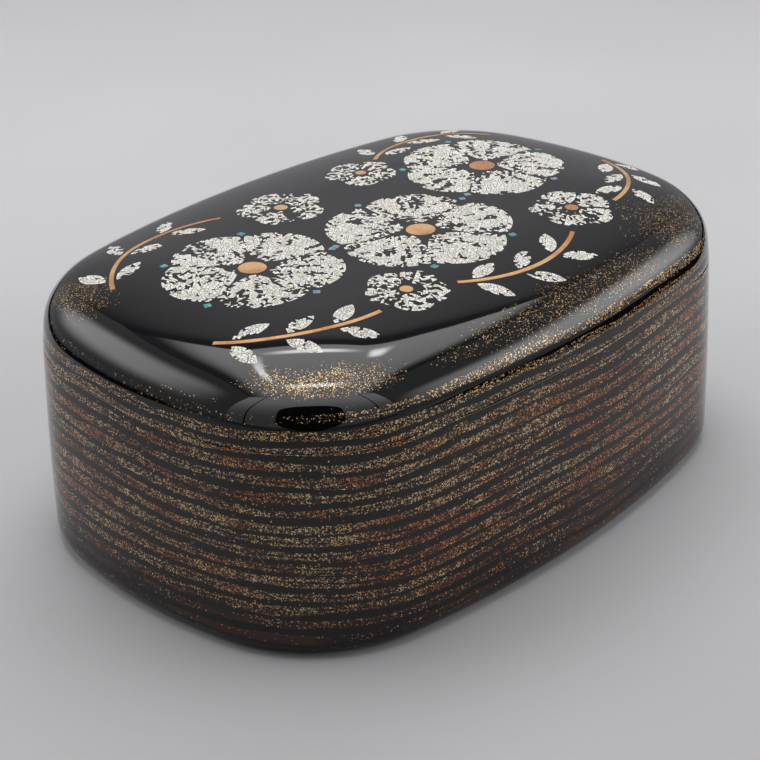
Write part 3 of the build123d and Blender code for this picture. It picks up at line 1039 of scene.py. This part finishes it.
paper_left, paper_right, paper_near, lift = -0.41, 0.30, -0.22, 1 * mm
sheet("floor_left", black_cloth, (-tent_side, paper_near, lift), (paper_left, tent_back, lift))
sheet("floor_right", black_cloth, (paper_right, paper_near, lift), (0.62, tent_back, lift))
sheet("floor_front", black_cloth, (-tent_side, tent_front, lift), (tent_side, tent_front + 0.06, lift))
sheet("left_wall_cloth", dim_cloth, (-tent_side, tent_front, 0.04), (-tent_side, tent_back, tent_top))
sheet("right_wall_cloth", dim_cloth, (tent_side, tent_front, 0), (tent_side, tent_back, tent_top))
sheet("front_wall_cloth", front_cloth, (-tent_side, tent_front, 0.04), (tent_side, tent_front, tent_top))
print(f"a room {2 * tent_side:.2f} m wide and {tent_back - tent_front:.2f} m deep")

# %% Slit and poles
before_cloth = tent_front + 5 * mm
slit_rounding = 0.19
slit = sheet("camera_slit", black_cloth, (-0.24, before_cloth, 0.0), (0.19, before_cloth, 0.60))
bm = bmesh.new()
bm.from_mesh(slit.data)
bmesh.ops.bevel(
    bm, geom=bm.verts[:], offset=slit_rounding, offset_type="OFFSET", segments=8, profile=0.5, material=-1,
    affect="VERTICES",
)
bm.to_mesh(slit.data)
bm.free()
pole_half = 9 * mm
for name, pole in {"pole_left": -0.50, "pole_right": 0.50}.items():
    sheet(name, black_cloth, (pole - pole_half, before_cloth, 0), (pole + pole_half, before_cloth, tent_top))
print("the camera looks in through a slit between two poles")


# %% [markdown]
# ## The lamps
#
# The roof cloth is the main light, and it is large, so its shadow is soft. Two more lamps in the roof are
# only there to be seen in the near corner, and light nothing. Four bars give the bright lines there, and
# two low softboxes draw the long soft bands on the shoulder. A lamp that fades towards its rim has no hard
# edge in the mirror. Each lamp is given by its radiance, because that is how bright it looks in the
# mirror, whatever its size.
# %% Lamp
def lamp(name, middle, across, shines, wide, high, radiance, soft=(0.0, 0.0)):
    """A rectangular lamp with this radiance in its middle, which fades towards its sides by two shares."""
    light = bpy.data.lights.new(name, "AREA")
    light.shape = "RECTANGLE"
    light.size = wide
    light.size_y = high
    light.energy = radiance * pi * wide * high
    if any(soft):
        light.use_nodes = True
        tree = light.node_tree
        on_face = add(tree, "ShaderNodeNewGeometry").outputs["Parametric"]
        shares = add(tree, "ShaderNodeSeparateXYZ", {"Vector": on_face})
        fade = 1.0
        for axis, share in zip("XY", soft):
            if not share:
                continue
            off_middle = calc(tree, "ABSOLUTE", calc(tree, "SUBTRACT", shares.outputs[axis], 0.5))
            from_middle = calc(tree, "MULTIPLY", off_middle, 2.0)
            fade = calc(tree, "MULTIPLY", fade, ease(tree, from_middle, 1.0 - share, 1.0, 1.0, 0.02))
        wire(tree, fade, tree.nodes["Emission"].inputs["Strength"])
    made = bpy.data.objects.new(name, light)
    facing = -shines
    axes = Matrix((across, facing.cross(across), facing)).transposed().to_4x4()
    made.matrix_world = Matrix.Translation(in_room(*middle)) @ axes
    bpy.context.scene.collection.objects.link(made)
    return made


print("ready: lamp")

# %% Roof, bars and softboxes
roof = 1.15
lamp("roof_cloth", (0.02, 0.46, roof), right, -upward, 1.30, 1.04, 2.3, (0.30, 0.0))
seen_in_corner = {"roof_near": (1.50, 0.68, 2.3, (0.45, 0.0)), "roof_front": (0.8, 0.72, 3.8, (0.6, 0.6))}
for name, (wide, long, radiance, soft) in seen_in_corner.items():
    seen_only = lamp(name, (0.02, -0.40, roof), right, -upward, wide, long, radiance, soft)
    seen_only.visible_diffuse = False
bars = {
    "bar_far": ((-0.06, 0.87), (0.46, 0.07)), "bar_left": ((-0.285, 0.42), (0.07, 1.0)),
    "bar_right": ((0.21, 0.82), (0.09, 0.20)), "bar_near": ((0.0, -0.12), (0.60, 0.22)),
}
for name, ((sideways, depth), (wide, long)) in bars.items():
    lamp(name, (sideways, depth, roof - 0.02), right, -upward, wide, long, 9.0, (0.8, 0.8))
lamp("left_softbox", (-0.70, 0.12, 0.52), away, right, 1.10, 0.70, 3.0, (0.75, 0.75))
lamp("right_softbox", (0.70, 0.02, 0.30), away, -right, 1.10, 0.50, 3.6, (0.75, 0.75))
print("roof with two lamps to be seen,", len(bars), "bars, and two softboxes")

# %% World
world = bpy.data.worlds.new("dim_room")
bpy.context.scene.world = world
world.use_nodes = True
background = world.node_tree.nodes["Background"]
settle(world.node_tree, background, {"Color": (0.95, 0.97, 1.0, 1), "Strength": 0.15})
bpy.context.scene.view_settings.view_transform = "Standard"
print("world:", world.name)

# %% Sizes kept for comparison
boxes = {"cad": cad_box, "visual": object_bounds()}
tops = [round(corners[1][2] / mm, 2) for corners in boxes.values()]
print("top of the CAD model and of the dressed one:", tops)
